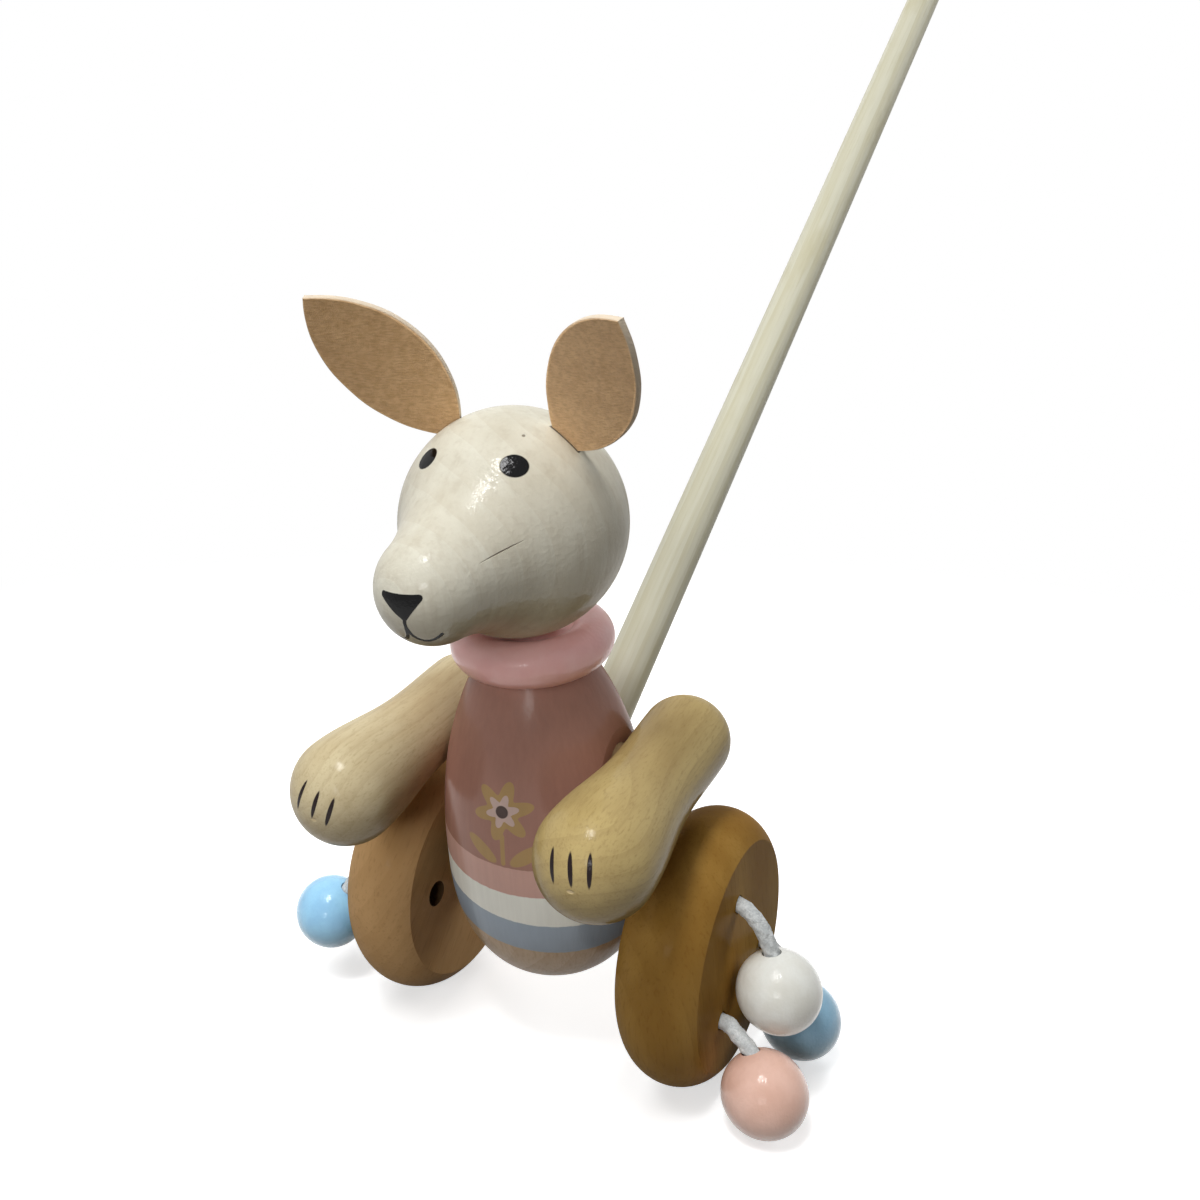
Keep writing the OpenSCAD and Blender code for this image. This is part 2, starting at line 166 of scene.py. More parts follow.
def insideOf(points, corners):  # distance to a closed chain, negative inside
    corners = np.asarray(corners, float)
    away = distanceTo(points, np.concatenate([corners, corners[:1]]))
    way = np.roll(corners, -1, axis=0) - corners
    rel = points[..., None, :] - corners
    turn = way[:, 0] * rel[..., 1] - way[:, 1] * rel[..., 0]
    return np.where((turn > 0).all(-1) | (turn < 0).all(-1), -away, away)


# A frame is a 4 by 4 matrix in millimetres: columns are the local axes and the origin.
def frameOf(origin, x, y, z):
    made = np.eye(4)
    made[:3, :3] = np.stack([x, y, z], axis=1)
    made[:3, 3] = origin
    return made


def placed(space, points):
    return points @ space[:3, :3].T + space[:3, 3]


def turnAbout(axis, degrees):  # the 3 by 3 turn about X, Y or Z
    angle = np.radians(degrees)
    i, j = dict(x=(1, 2), y=(2, 0), z=(0, 1))[axis]
    made = np.eye(3)
    made[[i, j], [i, j]] = np.cos(angle)
    made[i, j], made[j, i] = -np.sin(angle), np.sin(angle)
    return made


def nodeMiddle(name):  # the middle of a CAD node's box
    low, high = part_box(name)
    return np.array((low + high) / 2) / mm


leanAngle = 10.0  # degrees that the figure leans forward
axleHeight = nodeMiddle("wheel_left")[2]


# The figure leans about the axle: a turn about X through the wheel's middle.
def leanFrame(angle, height):
    centre = np.array([0, 0, height])
    turn = turnAbout("x", angle)
    return frameOf(centre - turn @ centre, *turn.T)


toyFrame = leanFrame(leanAngle, axleHeight)

# Material helpers


def screenTone(r, g, b):  # a colour as a screen shows it, 0 to 255, turned to linear light
    c = np.array([r, g, b]) / 255
    return (*np.where(c <= 0.04045, c / 12.92, ((c + 0.055) / 1.055) ** 2.4).tolist(), 1.0)


def newFinish(name, **sockets):
    finish = bpy.data.materials.new(name)
    finish.use_nodes = True
    shader = finish.node_tree.nodes["Principled BSDF"]
    for key, value in sockets.items():
        shader.inputs[key].default_value = value
    return finish, finish.node_tree, shader


def lacquer(name, rough, coat, coatRough, specular=0.0):  # the gloss is in the coat
    return newFinish(name, **{"Roughness": rough, "Specular IOR Level": specular,
                              "Coat Weight": coat, "Coat Roughness": coatRough})


def cloth(name, rough, specular, sheen, sheenRough):
    return newFinish(name, **{"Roughness": rough, "Specular IOR Level": specular,
                              "Sheen Weight": sheen, "Sheen Roughness": sheenRough})


def put(tree, kind, inputs, **settings):
    made = tree.nodes.new("ShaderNode" + kind)
    for key, value in settings.items():
        setattr(made, key, value)
    for key, value in inputs.items():
        if isinstance(value, bpy.types.NodeSocket):
            tree.links.new(value, made.inputs[key])
        else:
            made.inputs[key].default_value = value
    return made


def objectCoords(tree):
    return put(tree, "TexCoord", {}).outputs["Object"]


def coordsIn(tree, space, stretch=(1, 1, 1)):  # Object coordinates in a piece's own frame, stretched
    turn = Matrix(space[:3, :3].tolist()).to_euler()
    return put(tree, "Mapping", {"Vector": objectCoords(tree), "Location": Vector(space[:3, 3]) * mm,
                                 "Rotation": turn, "Scale": stretch}, vector_type="TEXTURE").outputs[0]


def alongIn(tree, space, stretch):  # the same, drawn out along the frame's Z
    return coordsIn(tree, space, (1, 1, stretch))


def vectorMaths(tree, operation, a, b=(0, 0, 0)):
    return put(tree, "VectorMath", {0: a, 1: b}, operation=operation).outputs["Value"]


def maths(tree, operation, a, b=0.0):
    return put(tree, "Math", {0: a, 1: b}, operation=operation).outputs[0]


def added(tree, a, b):
    return maths(tree, "ADD", a, b)


def scaled(tree, value, share):
    return maths(tree, "MULTIPLY", value, share)


def greatest(tree, values):
    top = values[0]
    for value in values[1:]:
        top = maths(tree, "MAXIMUM", top, value)
    return top


def noise(tree, coords, scale, detail=3.0, roughness=0.5):
    return put(tree, "TexNoise", {"Vector": coords, "Scale": scale, "Detail": detail,
                                  "Roughness": roughness}).outputs["Fac"]


def ramp(tree, value, low, high, toLow=0.0, toHigh=1.0):
    return put(tree, "MapRange", {"Value": value, "From Min": low, "From Max": high,
                                  "To Min": toLow, "To Max": toHigh},
               interpolation_type="SMOOTHSTEP").outputs[0]


def mixed(tree, share, a, b, blend="MIX"):
    return put(tree, "Mix", {"Factor": share, 6: a, 7: b}, data_type="RGBA", blend_type=blend).outputs[2]


def toned(tree, value, light, dark, low=0.3, high=0.7):  # from light to dark as the value rises
    return mixed(tree, ramp(tree, value, low, high), screenTone(*light), screenTone(*dark))


# The base with up to a share of the tone where the value is high.
def overlaid(tree, base, value, tone, low, high, share):
    return mixed(tree, ramp(tree, value, low, high, 0.0, share), base, screenTone(*tone))


def roughBy(tree, value, smooth, dull):  # a roughness that follows a noise
    return ramp(tree, value, 0.2, 0.8, smooth, dull)


def painted(tree, shader, colour, rough=None):
    tree.links.new(colour, shader.inputs["Base Color"])
    if rough is not None:
        tree.links.new(rough, shader.inputs["Roughness"])


def bumped(tree, shader, height, depth):  # depth in millimetres
    bump = put(tree, "Bump", {"Height": height, "Distance": depth * mm, "Strength": 1.0})
    for socket in ("Normal", "Coat Normal"):
        tree.links.new(bump.outputs[0], shader.inputs[socket])


# 1 inside an ellipsoid with its axes along a stroke, across it and out of the surface, 0 outside.
def spot(tree, space, centre, along, facing, half, soft):
    e1 = unit(along)
    e2 = unit(np.cross(facing, e1))
    place = space @ frameOf(centre, e1, e2, np.cross(e1, e2))
    coords = coordsIn(tree, place, tuple(h * mm for h in half))
    return ramp(tree, vectorMaths(tree, "LENGTH", coords), 1 - soft, 1 + soft, 1.0, 0.0)


def note(tree, name):
    return put(tree, "Attribute", {}, attribute_name=name).outputs["Fac"]


# The share where a noted distance is negative, and none past the paint's edge.
def within(tree, name, edge, share=1.0):
    return ramp(tree, note(tree, name), -edge, edge, toLow=share, toHigh=0.0)


# Growth rings round a pith beside the piece, with fibres drawn out along the grain, which is local Z.
def grain(tree, space, pith, ringGap, wander=6.0):
    moved = space @ frameOf(pith, *np.eye(3))
    ringScale = 2 * np.pi / (20 * ringGap * mm)  # the wave texture's phase is 20 times the distance
    rings = put(tree, "TexWave", {"Vector": alongIn(tree, moved, 6), "Scale": ringScale,
                                  "Distortion": wander, "Detail": 3.0, "Detail Scale": 0.35},
                wave_type="RINGS", rings_direction="Z", wave_profile="SAW").outputs["Fac"]
    fibres = noise(tree, alongIn(tree, space, 26), scale=1500, detail=4.0, roughness=0.6)
    return rings, fibres


def dress(name, finish):  # a CAD node keeps its shape and gets a finish
    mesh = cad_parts[name].data
    mesh.materials.clear()
    mesh.materials.append(finish)


def settle(piece, finish, body, slot, *stands):
    piece.data.materials.append(finish)
    if body:
        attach(piece, body)
    if stands:
        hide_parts(*stands)


# Cords of soft cotton, knotted inside the wheel and glued into the beads

cottonCord = dict(
    thick=4.0, holeCircle=32.4, phase=dict(left=105, right=-64), inWheel=15.0, pointsInWheel=4, inBead=9.0,
    knotAt=-12.75, knotReach=1.7, knotRise=0.95, knotBore=6.6,
    plait=0.06, plaitTurns=4, plaitPitch=3.1, fuzz=0.018, rows=170, cols=48, seed=7, pathStep=4,
    mouths=dict(left=[(-2.5, 0, 10), (-4.5, 1.5, 9), (-2.5, 0, 10)],
                right=[(-7, 0, 7), (-3, 1, 9), (-5, 1, 7.5)]),
    bends=dict(
        left=[[(1.5, 0, -0.5), (3.6, 0.1, -2.1), (5.8, 0.2, -4.6), (7.2, 0.4, -7.4)],
              [(1.9, 0, -0.4), (3.9, -0.8, -1.3), (6.1, -1.7, -2.3)],
              [(1.5, 0, -0.5), (3.7, 0, -2), (6, -0.1, -4.4), (7.6, -0.1, -7.2)]],
        right=[[(2.5, 0, -0.1), (5, 0, -0.5), (7.5, 0, -1.1)],
               [(1.6, 0, -0.4), (3.8, -0.3, -1.5), (5.8, -0.7, -3), (7.5, -1.3, -5)],
               [(2, 0, -0.3), (4.6, -0.3, -1.4), (7.2, -0.6, -3.6)]]),
    tones=dict(light=(238, 241, 241), dark=(198, 203, 204), strand=(172, 177, 178)),
)
beadColours = ("cream", "pink", "blue")


def holePlace(make, side, i):  # the middle of a cord's hole in its wheel, as Y and Z
    angle = np.radians(make["phase"][side] + 360 / len(beadColours) * i)
    radius = make["holeCircle"] / 2
    return radius * np.cos(angle), axleHeight + radius * np.sin(angle)


# A tube round a line: the radius swells at the knot and is dimpled by a plait, the product of a
# wave round the cord and a wave along it, with a little seeded fuzz.
def plaitedTube(line, bulge, make, draws):
    tangent = unit(np.gradient(line, axis=0))
    side = unit(np.cross(tangent, [0, 1, 0]))
    other = np.cross(side, tangent)
    angle = np.linspace(0, 2 * np.pi, make["cols"], endpoint=False)
    along = np.concatenate([[0], np.cumsum(np.linalg.norm(np.diff(line, axis=0), axis=1))])[:, None]
    plait = np.cos(make["plaitTurns"] * angle) * np.cos(2 * np.pi * along / make["plaitPitch"])
    fuzz = draws.normal(0, make["fuzz"], plait.shape)
    radius = make["thick"] / 2 * (1 - make["plait"] + make["plait"] * plait + fuzz) + bulge[:, None]
    ring = np.cos(angle)[None, :, None] * side[:, None] + np.sin(angle)[None, :, None] * other[:, None]
    return line[:, None] + radius[:, :, None] * ring


def cottonFinish(tones):
    finish, tree, shader = cloth("softCotton", rough=0.95, specular=0.15, sheen=0.35, sheenRough=0.6)
    where = objectCoords(tree)
    mottle = noise(tree, where, scale=420, detail=5.0, roughness=0.65)
    strands = noise(tree, where, scale=2600, detail=2.0)
    yarn = toned(tree, mottle, tones["light"], tones["dark"])
    yarn = overlaid(tree, yarn, strands, tones["strand"], low=0.35, high=0.65, share=0.35)
    painted(tree, shader, yarn)
    bumped(tree, shader, strands, depth=0.3)
    return finish


def makeCords(make):
    finish = cottonFinish(make["tones"])
    draws = np.random.default_rng(make["seed"])
    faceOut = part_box("wheel_left")[1].x / mm
    inside = [(x, 0, 0) for x in np.linspace(-make["inWheel"], 0, make["pointsInWheel"])]
    for side, sign in sides.items():
        outward = np.array([sign, 1, 1])
        for i, colour in enumerate(beadColours):
            exitPoint = np.array([sign * faceOut, *holePlace(make, side, i)])
            low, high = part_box(f"bead_{side}_{colour}")
            beadRadius = (high.z - low.z) / 2 / mm
            toMouth = unit(make["mouths"][side][i]) * outward
            mouth = nodeMiddle(f"bead_{side}_{colour}") + toMouth * beadRadius
            free = [exitPoint + outward * p for p in inside + make["bends"][side][i]]
            line = smoothLine(free + [mouth, mouth - toMouth * make["inBead"]], make["rows"])
            fromFace = sign * (line[:, 0] - exitPoint[0])
            bulge = make["knotRise"] * np.exp(-((fromFace - make["knotAt"]) / make["knotReach"]) ** 2)
            name = f"cottonCord.{side}.{colour}"
            cord = skinGrid(name, plaitedTube(line, bulge, make, draws) * mm)
            settle(cord, finish, None, "cotton_cord", f"cord_{side}_{colour}")
            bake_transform(cord)
    print("cords made: 6")


makeCords(cottonCord)

# Ears of pressed felt

feltEar = dict(
    # the slot's fade is where the painted shadow along the ears' slots fades out, in millimetres
    length=43.75, width=21.4, thick=1.6, edgeRound=0.3, slotShadeFade=(0.18, 0.6), slotDepth=2.0,
    left=dict(foot=(12.83, -5.77, 160.03), tilt=45.08, forward=33.02, turn=21.55, bend=-3.67, curl=0.28),
    right=dict(foot=(11.65, -6.7, 161.39), tilt=39.15, forward=42.11, turn=26.17, bend=-3.5, curl=0.78),
    rows=150, across=46, corner=5, tipGap=0.02,
    ripple=dict(rise=0.08, along=0.55, alongFrom=1.0, across=0.5, acrossFrom=0.7),  # waves in radians
    tones=dict(light=(240, 199, 147), dark=(224, 181, 129), fibre=(194, 149, 101), fleck=(246, 215, 171),
               cut=(236, 226, 206)),
)


# An ear's own frame: Z from its foot to its tip, X across it and Y out of its face. The right one
# is mirrored.
def earSpace(pose, sign):
    mirror = np.array([sign, 1, 1])
    turns = turnAbout("z", -pose["forward"]) @ turnAbout("y", pose["tilt"]) @ turnAbout("z", pose["turn"])
    axes = mirror[:, None] * turns
    return toyFrame @ frameOf(mirror * pose["foot"], *axes.T)


def earArc(make):  # radius of the two arcs that bound the lens
    return (make["length"] ** 2 / 4 + make["width"] ** 2 / 4) / make["width"]


def earHalf(make, s):  # half the lens's width at s along it
    arc = earArc(make)
    return np.sqrt(np.maximum(arc**2 - (s - make["length"] / 2) ** 2, 0)) - (arc - make["width"] / 2)


# The middle line bends with the square of the length, and the sides curl with the square of the width.
def earBow(make, pose, s, h):
    return pose["bend"] * (s / make["length"]) ** 2 + pose["curl"] * (2 * h / make["width"]) ** 2


# A lens cut from felt: the section at each step along it is a rounded rectangle as wide as the lens
# there, and the whole ripples a little, by a wave along it times a wave across it.
def earGrid(make, pose, sign):
    sweep = np.linspace(make["tipGap"], np.pi - make["tipGap"], make["rows"])
    s = make["length"] * (0.5 - 0.5 * np.cos(sweep))[:, None]
    half = earHalf(make, s)
    flat = np.linspace(-1, 1, make["across"])
    flatZero = 0 * flat
    quarter = np.linspace(0, np.pi / 2, make["corner"])
    c, w = np.cos(quarter), np.sin(quarter)
    end = np.ones(make["corner"])
    cornerX = np.concatenate([flatZero, w, c, flatZero, -w, -c])
    cornerY = np.concatenate([flatZero + 1, c, -w, flatZero - 1, -c, w])
    share = np.concatenate([flat, end, end, flat[::-1], -end, -end])
    soft = np.minimum(make["edgeRound"], half)
    h = share * (half - soft) + soft * cornerX
    lift = np.sign(cornerY) * (make["thick"] / 2 - soft) + soft * cornerY
    ripple = make["ripple"]
    wave = (ripple["rise"] * np.sin(s * ripple["along"] + ripple["alongFrom"])
            * np.sin(h * ripple["across"] + ripple["acrossFrom"]))
    local = np.stack(np.broadcast_arrays(-h, earBow(make, pose, s, h) + lift + wave, s), axis=-1)
    return placed(earSpace(pose, sign), local), np.broadcast_to(np.abs(cornerX), h.shape)


# Distance outside the slot that an ear is pushed into, negative inside it.
def earSlot(make, points):
    best = np.full(points.shape[:-1], farAway)
    for side, sign in sides.items():
        local = placed(np.linalg.inv(earSpace(make[side], sign)), points)
        h, out, s = -local[..., 0], local[..., 1], local[..., 2]
        off = np.abs(out - earBow(make, make[side], s, h)) - make["thick"] / 2
        past = np.abs(h) - earHalf(make, np.clip(s, 0, make["length"]))
        best = np.minimum(best, np.where(s > -make["slotDepth"], np.maximum(off, past), farAway))
    return best


def feltFinish(tones):
    finish, tree, shader = cloth("pressedFelt", rough=0.97, specular=0.1, sheen=0.25, sheenRough=0.7)
    where = objectCoords(tree)
    drawn = put(tree, "Mapping", {"Vector": where, "Scale": (0.35, 0.35, 1.6)}).outputs[0]
    mats = noise(tree, where, scale=520, detail=4.0, roughness=0.6)
    lying = noise(tree, drawn, scale=1900)
    standing = noise(tree, where, scale=5200, detail=2.0)
    felt = toned(tree, mats, tones["light"], tones["dark"], low=0.32, high=0.68)
    felt = overlaid(tree, felt, lying, tones["fibre"], low=0.42, high=0.66, share=0.45)
    felt = overlaid(tree, felt, standing, tones["fleck"], low=0.58, high=0.72, share=0.5)
    felt = mixed(tree, scaled(tree, note(tree, "cutEdge"), 0.75), felt, screenTone(*tones["cut"]))
    painted(tree, shader, felt)
    bumped(tree, shader, added(tree, lying, standing), depth=0.12)
    return finish


def makeEars(make):
    finish = feltFinish(make["tones"])
    for side, sign in sides.items():
        grid, cutEdge = earGrid(make, make[side], sign)
        ear = skinGrid(f"feltEar.{side}", grid * mm, dict(cutEdge=cutEdge))
        settle(ear, finish, "figure", "tan_felt", f"ear_{side}")
    print("ears made: 2")


makeEars(feltEar)

# Head: a turned pear of pale wood with a painted face

turnedHead = dict(
    ball=25.45, nose=11.8, reach=32.2, bridge=40.0, nod=4.0, centre=(0, -6.8, 142.084),
    rows=330, cols=300, ballSteps=400, bridgeSteps=120, noseSteps=300, poleGap=0.01,
    fineFrom=3.0, fineShare=3.5,  # closer rows round the painted nose
    eye=dict(place=(10.55, 19.13, 13.06), along=(0.86, -0.22, -0.46), half=(2.95, 2.6, 7.0)),
    noseTips=[(-3.4, 3.25), (4.4, 3.3), (1.1, -0.65)], noseRound=0.75, noseDepth=36.0,
    lip=[(1.1, -1.1, 43.9), (0.91, -2.12, 43.77), (0.9, -2.9, 43.6)],
    rightSmile=[(0.9, -2.9, 43.6), (1.73, -5.68, 42.4), (3.45, -6.83, 41.19), (5.39, -6.25, 40.63),
                (6.77, -5.16, 40.37)],
    leftSmile=[(0.9, -2.9, 43.6), (0.05, -5.68, 42.54), (-1.5, -6.83, 41.6), (-3.4, -6.25, 41.2),
               (-4.8, -5.1, 41.2)],
    lineHalf=0.4, linePoints=12, inkEdge=0.09,
    crack=dict(place=(12.87, 6.16, 25.25), along=(1.89, 0.4, -3.83), facing=(0.85, 0.2, 0.45),
               half=(4.5, 0.13, 4.0)),
    speck=dict(place=(9.28, 22.86, 6.24), half=(0.36, 0.36, 0.36)),
    pith=(16, 9, 0), ringGap=5.5,
    # the slot tone is the painted shadow along the ears' slots; ink is the painted face
    tones=dict(light=(223, 220, 204), dark=(210, 205, 187), streak=(194, 186, 167), ring=(186, 172, 146),
               fibre=(198, 190, 172), flaw=(96, 82, 62), slot=(62, 48, 36), ink=(5, 5, 6)),
)


# The outline is an arc of the ball, a hollow arc that touches both, and an arc of the nose.
def headOutline(make):
    ball, nose, reach, bridge = (make[k] for k in ("ball", "nose", "reach", "bridge"))
    along = (reach**2 + (ball + bridge) ** 2 - (nose + bridge) ** 2) / (2 * reach)
    out = np.sqrt((ball + bridge) ** 2 - along**2)
    ballEnd = np.arctan2(out, along)
    noseStart = np.arctan2(out, along - reach)
    a = np.linspace(np.pi - make["poleGap"], ballEnd, make["ballSteps"])
    b = np.linspace(ballEnd, noseStart, make["bridgeSteps"])[1:-1]
    c = np.linspace(noseStart, make["poleGap"], make["noseSteps"])
    return np.concatenate([
        np.stack([ball * np.sin(a), ball * np.cos(a)], axis=-1),
        np.stack([out - bridge * np.sin(b), along - bridge * np.cos(b)], axis=-1),
        np.stack([nose * np.sin(c), reach + nose * np.cos(c)], axis=-1)])


# Distance outside the face's paint: the nose is a rounded triangle, the lips are lines of even width.
def faceInk(local, make):
    nose = insideOf(local[..., :2], make["noseTips"]) - make["noseRound"]
    nose = np.where(local[..., 2] > make["noseDepth"], nose, farAway)
    lines = [distanceTo(local, smoothLine(make[k], make["linePoints"]))
             for k in ("lip", "rightSmile", "leftSmile")]
    return np.minimum(nose, np.min(lines, axis=0) - make["lineHalf"])


def headFinish(make, space):
    finish, tree, shader = lacquer("creamLacquer", rough=0.5, coat=0.36, coatRough=0.14)
    tones, eye, crack, speck = (make[k] for k in ("tones", "eye", "crack", "speck"))
    mottle = noise(tree, coordsIn(tree, toyFrame), scale=75, detail=4.0, roughness=0.55)
    streaks = noise(tree, alongIn(tree, toyFrame, 14), scale=420, detail=4.0, roughness=0.6)
    peel = noise(tree, coordsIn(tree, toyFrame), scale=900, detail=2.0)
    rings, fibres = grain(tree, toyFrame, make["pith"], make["ringGap"], wander=5.0)
    wood = toned(tree, mottle, tones["light"], tones["dark"], high=0.72)
    wood = overlaid(tree, wood, streaks, tones["streak"], low=0.45, high=0.8, share=0.55)
    wood = mixed(tree, scaled(tree, rings, 0.16), wood, screenTone(*tones["ring"]))
    wood = overlaid(tree, wood, fibres, tones["fibre"], low=0.5, high=0.75, share=0.25)
    flaws = greatest(tree, [
        spot(tree, space, crack["place"], crack["along"], crack["facing"], crack["half"], soft=0.5),
        spot(tree, space, speck["place"], (1, 0, 0), speck["place"], speck["half"], soft=0.4)])
    wood = mixed(tree, scaled(tree, flaws, 0.75), wood, screenTone(*tones["flaw"]))
    # Painted shadow: a dark line on the head along each ear's foot stands for the shade in the slot the ear
    # is pushed into
    slotShadow = ramp(tree, note(tree, "earSlot"), *feltEar["slotShadeFade"], toLow=0.85, toHigh=0.0)
    wood = mixed(tree, slotShadow, wood, screenTone(*tones["slot"]))
    marks = [within(tree, "faceInk", make["inkEdge"])]
    for sign in sides.values():
        mirror = np.array([sign, 1, 1])
        place = eye["place"] * mirror
        marks.append(spot(tree, space, place, eye["along"] * mirror, place, eye["half"], soft=0.05))
    ink = greatest(tree, marks)
    rough = added(tree, 0.27, scaled(tree, mottle, 0.14))
    painted(tree, shader, mixed(tree, ink, wood, screenTone(*tones["ink"])), rough)
    height = added(tree, scaled(tree, ink, 0.6), scaled(tree, peel, 0.9))
    height = maths(tree, "SUBTRACT", height, flaws)
    bumped(tree, shader, added(tree, height, scaled(tree, streaks, 0.3)), depth=0.12)
    return finish


def makeHead(make):
    space = toyFrame @ frameOf(make["centre"], *turnAbout("x", 90 + make["nod"]).T)
    outline = headOutline(make)
    fine = np.where(outline[:, 1] > make["reach"] + make["fineFrom"], make["fineShare"], 1.0)
    local = turned(respaced(outline, make["rows"], fine), make["cols"])
    points = placed(space, local)
    notes = dict(faceInk=faceInk(local, make), earSlot=earSlot(feltEar, points))
    head = skinGrid("turnedHead", points * mm, notes)
    settle(head, headFinish(make, space), "figure", "cream_lacquer", "head")
    print("head made")


makeHead(turnedHead)

# Torso: a turned bell with a painted jumper

turnedTorso = dict(
    axisBack=-3.3, bellyRadius=25.9, bellyHeight=53.5, footHeight=22.4, footRadius=6.0,
    topHeight=107.0, neckRadius=13.8, lowerPower=2.2, upperPower=2.5, rows=200, cols=320, steps=300,
    seatRadius=17.0, seatOut=20.6, shoulderHeight=84.4, seatPast=6.0, seatCols=128, sharpFrom=35,
    bands=[dict(edge=41.6, tilt=0.10, tone=(162, 174, 187)),  # the lower edge of each band
           dict(edge=50.4, tilt=0.10, tone=(241, 240, 230)),
           dict(edge=58.1, tilt=0.04, tone=(207, 165, 152)),
           dict(edge=65.5, tilt=0.04, tone=(165, 121, 106))],
    bandEdge=0.12, ragged=0.4,
    flower=dict(place=(2.5, 79.5), petal=7.6, petals=6, dent=0.24, inner=0.56, eye=1.55,
                leaf=(5.6, -10.6), leafHalf=(4.6, 1.75), leafTurn=0.62,  # the turn is in radians
                stalk=(-6.0, -13.2), stalkHalf=0.55,
                tones=dict(flowerTan=(178, 146, 94), flowerPale=(206, 180, 172), flowerEye=(58, 38, 32))),
    pith=(14, 10, 0), ringGap=3.2,
    wood=dict(light=(204, 178, 147), dark=(186, 156, 122), fibre=(172, 140, 106)),
)


# Below the belly the outline is a quarter of a flattened ellipse of the lower power, above it the
# radius falls with the upper power of the height.
def torsoOutline(make):
    belly, height, power = make["bellyRadius"], make["bellyHeight"], 2 / make["lowerPower"]
    a = np.linspace(np.pi / 2, 0, make["steps"])
    low = np.stack([make["footRadius"] + (belly - make["footRadius"]) * np.cos(a) ** power,
                    height - (height - make["footHeight"]) * np.sin(a) ** power], axis=-1)
    p = np.linspace(0, 1, make["steps"])[1:]
    high = np.stack([belly - (belly - make["neckRadius"]) * p ** make["upperPower"],
                     height + (make["topHeight"] - height) * p], axis=-1)
    return respaced(np.concatenate([low, high]), make["rows"])


# A plain flower: petals are a wave round a circle, leaves are ellipses, the stalk is a short line.
# Each note is the distance outside its paint.
def flowerNotes(points, make):
    plan = make["flower"]
    x, z = points[..., 0] - plan["place"][0], points[..., 2] - plan["place"][1]
    radius, angle = np.hypot(x, z), np.arctan2(z, x)
    wave = 1 - plan["dent"] + plan["dent"] * np.cos(plan["petals"] * angle - np.pi / 2)
    petals = radius - plan["petal"] * wave
    middle = radius - plan["petal"] * plan["inner"] * wave
    c, s = np.cos(plan["leafTurn"]), np.sin(plan["leafTurn"])
    leafLong, leafWide = plan["leafHalf"]
    leaves = []
    for sign in sides.values():
        u, v = x * sign - plan["leaf"][0], z - plan["leaf"][1]
        along, across = u * c + v * s, v * c - u * s
        leaves.append((np.hypot(along / leafLong, across / leafWide) - 1) * leafWide)
    stalkEnds = np.array([[0, end] for end in plan["stalk"]])
    stalk = distanceTo(np.stack([x, z], axis=-1), stalkEnds) - plan["stalkHalf"]
    tan = np.min([petals, *leaves, stalk], axis=0)
    front = points[..., 1] < make["axisBack"]
    return {key: np.where(front, value, farAway) for key, value in
            dict(flowerTan=tan, flowerPale=middle, flowerEye=radius - plan["eye"]).items()}


def jumperFinish(make):
    finish, tree, shader = lacquer("paintedJumper", rough=0.6, coat=0.4, coatRough=0.2)
    bare, edge = make["wood"], make["bandEdge"]
    coords = coordsIn(tree, toyFrame)
    streaks = noise(tree, alongIn(tree, toyFrame, 22), scale=700, detail=4.0, roughness=0.6)
    mottle = noise(tree, coords, scale=90)
    rings, fibres = grain(tree, toyFrame, make["pith"], make["ringGap"])
    colour = mixed(tree, scaled(tree, rings, 0.5), screenTone(*bare["light"]), screenTone(*bare["dark"]))
    colour = overlaid(tree, colour, fibres, bare["fibre"], low=0.45, high=0.7, share=0.4)
    wobble = maths(tree, "SUBTRACT", noise(tree, coords, scale=600, detail=2.0), 0.5)
    ragged = scaled(tree, wobble, make["ragged"] * mm)
    for band in make["bands"]:
        level = added(tree, vectorMaths(tree, "DOT_PRODUCT", coords, (band["tilt"], 0, 1)), ragged)
        above = ramp(tree, level, (band["edge"] - edge) * mm, (band["edge"] + edge) * mm)
        colour = mixed(tree, above, colour, screenTone(*band["tone"]))
    for key, tone in make["flower"]["tones"].items():
        colour = mixed(tree, within(tree, key, edge, share=0.94), colour, screenTone(*tone))
    streakShade = ramp(tree, streaks, 0.3, 0.7, toLow=0.97, toHigh=1.03)
    mottleShade = ramp(tree, mottle, 0.3, 0.7, toLow=-0.03, toHigh=0.03)
    shade = added(tree, streakShade, mottleShade)
    grey = put(tree, "CombineColor", {0: shade, 1: shade, 2: shade}).outputs[0]
    rough = roughBy(tree, streaks, smooth=0.37, dull=0.47)
    painted(tree, shader, mixed(tree, 1.0, colour, grey, "MULTIPLY"), rough)
    bumped(tree, shader, streaks, depth=0.08)
    return finish


def carve(piece, cutter, sharpFrom):  # takes the cutter's space out of the piece, and the cutter away
    cut = piece.modifiers.new("cut", "BOOLEAN")
    cut.operation, cut.object, cut.solver = "DIFFERENCE", cutter, "EXACT"
    bpy.context.view_layer.update()
    left = bpy.data.meshes.new_from_object(piece.evaluated_get(bpy.context.evaluated_depsgraph_get()))
    piece.modifiers.clear()
    piece.data = left
    bpy.data.objects.remove(cutter)
    left.set_sharp_from_angle(angle=np.radians(sharpFrom))


# The bell of the outline, with a flat seat cut into each side by a drum that points sideways.
def makeTorso(make):
    upright = turned(torsoOutline(make), make["cols"]) + np.array([0, make["axisBack"], 0])
    torso = skinGrid("turnedTorso", placed(toyFrame, upright) * mm, flowerNotes(upright, make))
    shoulder = (0, make["axisBack"], make["shoulderHeight"])
    for sign in sides.values():
        ends = (make["seatOut"], make["bellyRadius"] + make["seatPast"])
        drum = turned([(make["seatRadius"], end) for end in ends], make["seatCols"])
        seatSpace = toyFrame @ frameOf(shoulder, (0, sign, 0), (0, 0, 1), (sign, 0, 0))
        carve(torso, skinGrid("seatDrum", placed(seatSpace, drum) * mm), make["sharpFrom"])
    settle(torso, jumperFinish(make), "figure", "painted_jumper", "torso")
    print("torso made")


makeTorso(turnedTorso)

# Arms: two turned clubs on one dowel, with painted claws

